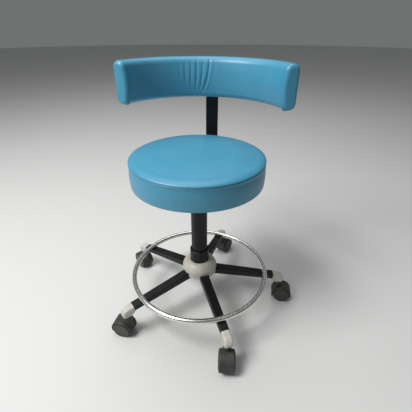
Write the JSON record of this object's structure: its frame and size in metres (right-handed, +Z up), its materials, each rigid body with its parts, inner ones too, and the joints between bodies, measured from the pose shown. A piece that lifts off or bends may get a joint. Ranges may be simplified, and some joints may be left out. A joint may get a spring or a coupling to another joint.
{
  "type": "surgeon stool",
  "caption": "Round padded swivel stool with a wrap-around backrest, gas-lift column, foot ring and a wheeled star base.",
  "frame": {"origin": "on the floor, on the axis of the column", "axes": "+Z up along the column, +Y towards the backrest, +X to the right seen from the front"},
  "size_m": [0.6056, 0.6107, 0.762],
  "materials": {
    "black_enamel": "semi-gloss black enamel",
    "chromed_tube": "polished chrome plate",
    "cream_plastic": "smooth moulded cream",
    "bright_steel": "zinc plated",
    "black_plastic": "fine grained",
    "grey_hood_plastic": "fine grained",
    "grey_wheel_plastic": "smooth",
    "black_rubber": "matt",
    "plywood": "raw",
    "foam": "open cell foam",
    "teal_vinyl": "soft grained vinyl"
  },
  "bodies": {
    "base": {"hub_tube": "black_enamel", "hub_cover": "cream_plastic", "leg_1": "black_enamel", "leg_2": "black_enamel", "leg_3": "black_enamel", "leg_4": "black_enamel", "leg_5": "black_enamel", "leg_caps": "cream_plastic", "foot_ring": "chromed_tube", "foot_ring_screws": "bright_steel", "caster_stems": "bright_steel", "column_tube": "black_enamel", "guide_bush": "black_plastic", "thrust_bearing": "bright_steel"},
    "spindle": {"piston_rod": "bright_steel", "piston": "black_plastic", "rod_clip": "bright_steel", "rod_buffer": "black_rubber"},
    "seat": {"gas_cylinder": "chromed_tube", "seat_tray": "black_enamel", "seat_screws": "bright_steel", "seat_board": "plywood", "seat_foam": "foam", "seat_cover": "teal_vinyl", "bar_guide": "black_enamel"},
    "release_pin": {"release_pin": "bright_steel"},
    "lever": {"lever_rod": "bright_steel", "lever_grip": "black_plastic"},
    "back_bar": {"back_bar": "black_enamel"},
    "depth_knob": {"depth_knob": "black_plastic", "depth_stud": "bright_steel"},
    "backrest": {"back_bracket": "black_enamel", "back_screws": "bright_steel", "back_board": "plywood", "back_foam": "foam", "back_cover": "teal_vinyl"},
    "back_knob": {"back_knob": "black_plastic", "back_stud": "bright_steel"},
    "caster_1": {"caster_1_hood": "grey_hood_plastic", "caster_1_axle": "bright_steel"},
    "caster_1_wheel_left": {"caster_1_wheel_left": "grey_wheel_plastic"},
    "caster_1_wheel_right": {"caster_1_wheel_right": "grey_wheel_plastic"},
    "caster_2": {"caster_2_hood": "grey_hood_plastic", "caster_2_axle": "bright_steel"},
    "caster_2_wheel_left": {"caster_2_wheel_left": "grey_wheel_plastic"},
    "caster_2_wheel_right": {"caster_2_wheel_right": "grey_wheel_plastic"},
    "caster_3": {"caster_3_hood": "grey_hood_plastic", "caster_3_axle": "bright_steel"},
    "caster_3_wheel_left": {"caster_3_wheel_left": "grey_wheel_plastic"},
    "caster_3_wheel_right": {"caster_3_wheel_right": "grey_wheel_plastic"},
    "caster_4": {"caster_4_hood": "grey_hood_plastic", "caster_4_axle": "bright_steel"},
    "caster_4_wheel_left": {"caster_4_wheel_left": "grey_wheel_plastic"},
    "caster_4_wheel_right": {"caster_4_wheel_right": "grey_wheel_plastic"},
    "caster_5": {"caster_5_hood": "grey_hood_plastic", "caster_5_axle": "bright_steel"},
    "caster_5_wheel_left": {"caster_5_wheel_left": "grey_wheel_plastic"},
    "caster_5_wheel_right": {"caster_5_wheel_right": "grey_wheel_plastic"}
  },
  "joints": [
    {"name": "seat_swivel", "type": "hinge", "parent": "base", "child": "spindle", "pos_m": [0, 0, 0], "axis": [0, 0, 1], "continuous": true},
    {"name": "seat_lift", "type": "slide", "parent": "spindle", "child": "seat", "axis": [0, 0, 1], "range_m": [-0.018, 0.12]},
    {"name": "lever_lift", "type": "hinge", "parent": "seat", "child": "lever", "pos_m": [0.028, 0, 0.447], "axis": [0, -1, 0], "range_deg": [0, 6], "stiffness_Nm_per_rad": 4},
    {"name": "release_press", "type": "slide", "parent": "seat", "child": "release_pin", "axis": [0, 0, -1], "range_m": [0, 0.00293]},
    {"name": "back_depth", "type": "slide", "parent": "seat", "child": "back_bar", "axis": [0, 1, 0], "range_m": [-0.03, 0.03]},
    {"name": "depth_knob_turn", "type": "hinge", "parent": "seat", "child": "depth_knob", "pos_m": [0, 0.13, 0.4516], "axis": [0, 0, 1], "range_deg": [-540, 0]},
    {"name": "back_height", "type": "slide", "parent": "back_bar", "child": "backrest", "axis": [0, 0, 1], "range_m": [-0.05, 0.04]},
    {"name": "back_knob_turn", "type": "hinge", "parent": "backrest", "child": "back_knob", "pos_m": [0, 0.2685, 0.7025], "axis": [0, -1, 0], "range_deg": [-540, 0]},
    {"name": "caster_1_swivel", "type": "hinge", "parent": "base", "child": "caster_1", "pos_m": [0.11958, -0.23984, 0], "axis": [0, 0, 1], "continuous": true},
    {"name": "caster_1_wheel_left_roll", "type": "hinge", "parent": "caster_1", "child": "caster_1_wheel_left", "pos_m": [0.12146, -0.25774, 0.0275], "axis": [0.9945, 0.1045, 0], "continuous": true},
    {"name": "caster_1_wheel_right_roll", "type": "hinge", "parent": "caster_1", "child": "caster_1_wheel_right", "pos_m": [0.12146, -0.25774, 0.0275], "axis": [0.9945, 0.1045, 0], "continuous": true},
    {"name": "caster_2_swivel", "type": "hinge", "parent": "base", "child": "caster_2", "pos_m": [0.26506, 0.03961, 0], "axis": [0, 0, 1], "continuous": true},
    {"name": "caster_2_wheel_left_roll", "type": "hinge", "parent": "caster_2", "child": "caster_2_wheel_left", "pos_m": [0.28306, 0.03961, 0.0275], "axis": [0, 1, 0], "continuous": true},
    {"name": "caster_2_wheel_right_roll", "type": "hinge", "parent": "caster_2", "child": "caster_2_wheel_right", "pos_m": [0.28306, 0.03961, 0.0275], "axis": [0, 1, 0], "continuous": true},
    {"name": "caster_3_swivel", "type": "hinge", "parent": "base", "child": "caster_3", "pos_m": [0.04423, 0.26432, 0], "axis": [0, 0, 1], "continuous": true},
    {"name": "caster_3_wheel_left_roll", "type": "hinge", "parent": "caster_3", "child": "caster_3_wheel_left", "pos_m": [0.05323, 0.27991, 0.0275], "axis": [-0.866, 0.5, 0], "continuous": true},
    {"name": "caster_3_wheel_right_roll", "type": "hinge", "parent": "caster_3", "child": "caster_3_wheel_right", "pos_m": [0.05323, 0.27991, 0.0275], "axis": [-0.866, 0.5, 0], "continuous": true},
    {"name": "caster_4_swivel", "type": "hinge", "parent": "base", "child": "caster_4", "pos_m": [-0.23772, 0.12375, 0], "axis": [0, 0, 1], "continuous": true},
    {"name": "caster_4_wheel_left_roll", "type": "hinge", "parent": "caster_4", "child": "caster_4_wheel_left", "pos_m": [-0.25151, 0.13532, 0.0275], "axis": [-0.6428, -0.766, 0], "continuous": true},
    {"name": "caster_4_wheel_right_roll", "type": "hinge", "parent": "caster_4", "child": "caster_4_wheel_right", "pos_m": [-0.25151, 0.13532, 0.0275], "axis": [-0.6428, -0.766, 0], "continuous": true},
    {"name": "caster_5_swivel", "type": "hinge", "parent": "base", "child": "caster_5", "pos_m": [-0.19115, -0.18784, 0], "axis": [0, 0, 1], "continuous": true},
    {"name": "caster_5_wheel_left_roll", "type": "hinge", "parent": "caster_5", "child": "caster_5_wheel_left", "pos_m": [-0.20908, -0.18627, 0.0275], "axis": [-0.0872, -0.9962, 0], "continuous": true},
    {"name": "caster_5_wheel_right_roll", "type": "hinge", "parent": "caster_5", "child": "caster_5_wheel_right", "pos_m": [-0.20908, -0.18627, 0.0275], "axis": [-0.0872, -0.9962, 0], "continuous": true}
  ],
  "couplings": [
    {"joint": "release_press", "follows": "lever_lift", "m_per_rad": 0.028}
  ]
}
